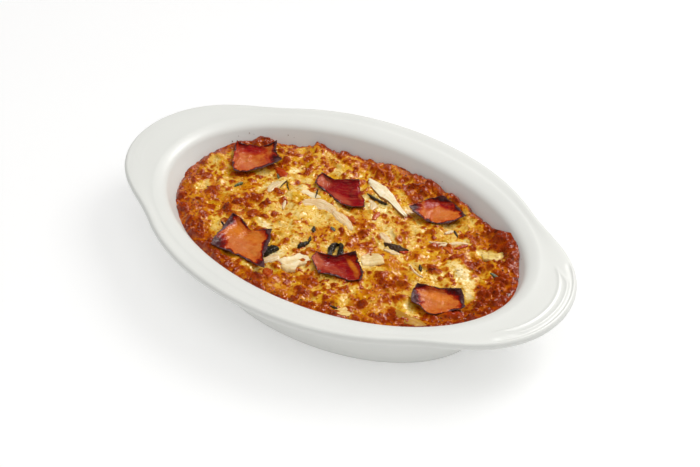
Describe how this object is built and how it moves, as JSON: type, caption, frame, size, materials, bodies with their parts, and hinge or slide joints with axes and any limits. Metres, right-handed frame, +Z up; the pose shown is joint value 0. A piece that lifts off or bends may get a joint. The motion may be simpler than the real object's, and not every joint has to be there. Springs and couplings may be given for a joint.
{
  "type": "baked pasta dish",
  "caption": "Oval white ear-handled ceramic baking dish filled with a cheese-topped pasta bake with curled ham squares, mushroom, onion, leaf and tomato bits.",
  "frame": {"origin": "centre of the base, on the plane the dish stands on", "axes": "+Z up; +X along the dish towards one ear; +Y across the dish"},
  "size_m": [0.28, 0.178, 0.046],
  "materials": {
    "porcelain": "glossy white glaze",
    "cheese": null,
    "ham": null,
    "mushroom": null,
    "onion": null,
    "pasta": null,
    "leaf": null,
    "tomato": null
  },
  "bodies": {
    "root": {"dish": "porcelain", "bake": "cheese", "ham_1": "ham", "ham_2": "ham", "ham_3": "ham", "ham_4": "ham", "ham_5": "ham", "ham_6": "ham", "mushroom_1": "mushroom", "mushroom_2": "mushroom", "mushroom_3": "mushroom", "mushroom_4": "mushroom", "mushroom_5": "mushroom", "onion_1": "onion", "onion_2": "onion", "onion_3": "onion", "onion_4": "onion", "onion_5": "onion", "onion_6": "onion", "pasta_1": "pasta", "pasta_2": "pasta", "leaf_1": "leaf", "leaf_2": "leaf", "leaf_3": "leaf", "leaf_4": "leaf", "leaf_5": "leaf", "leaf_6": "leaf", "tomato_1": "tomato", "tomato_2": "tomato", "tomato_3": "tomato"}
  },
  "joints": []
}
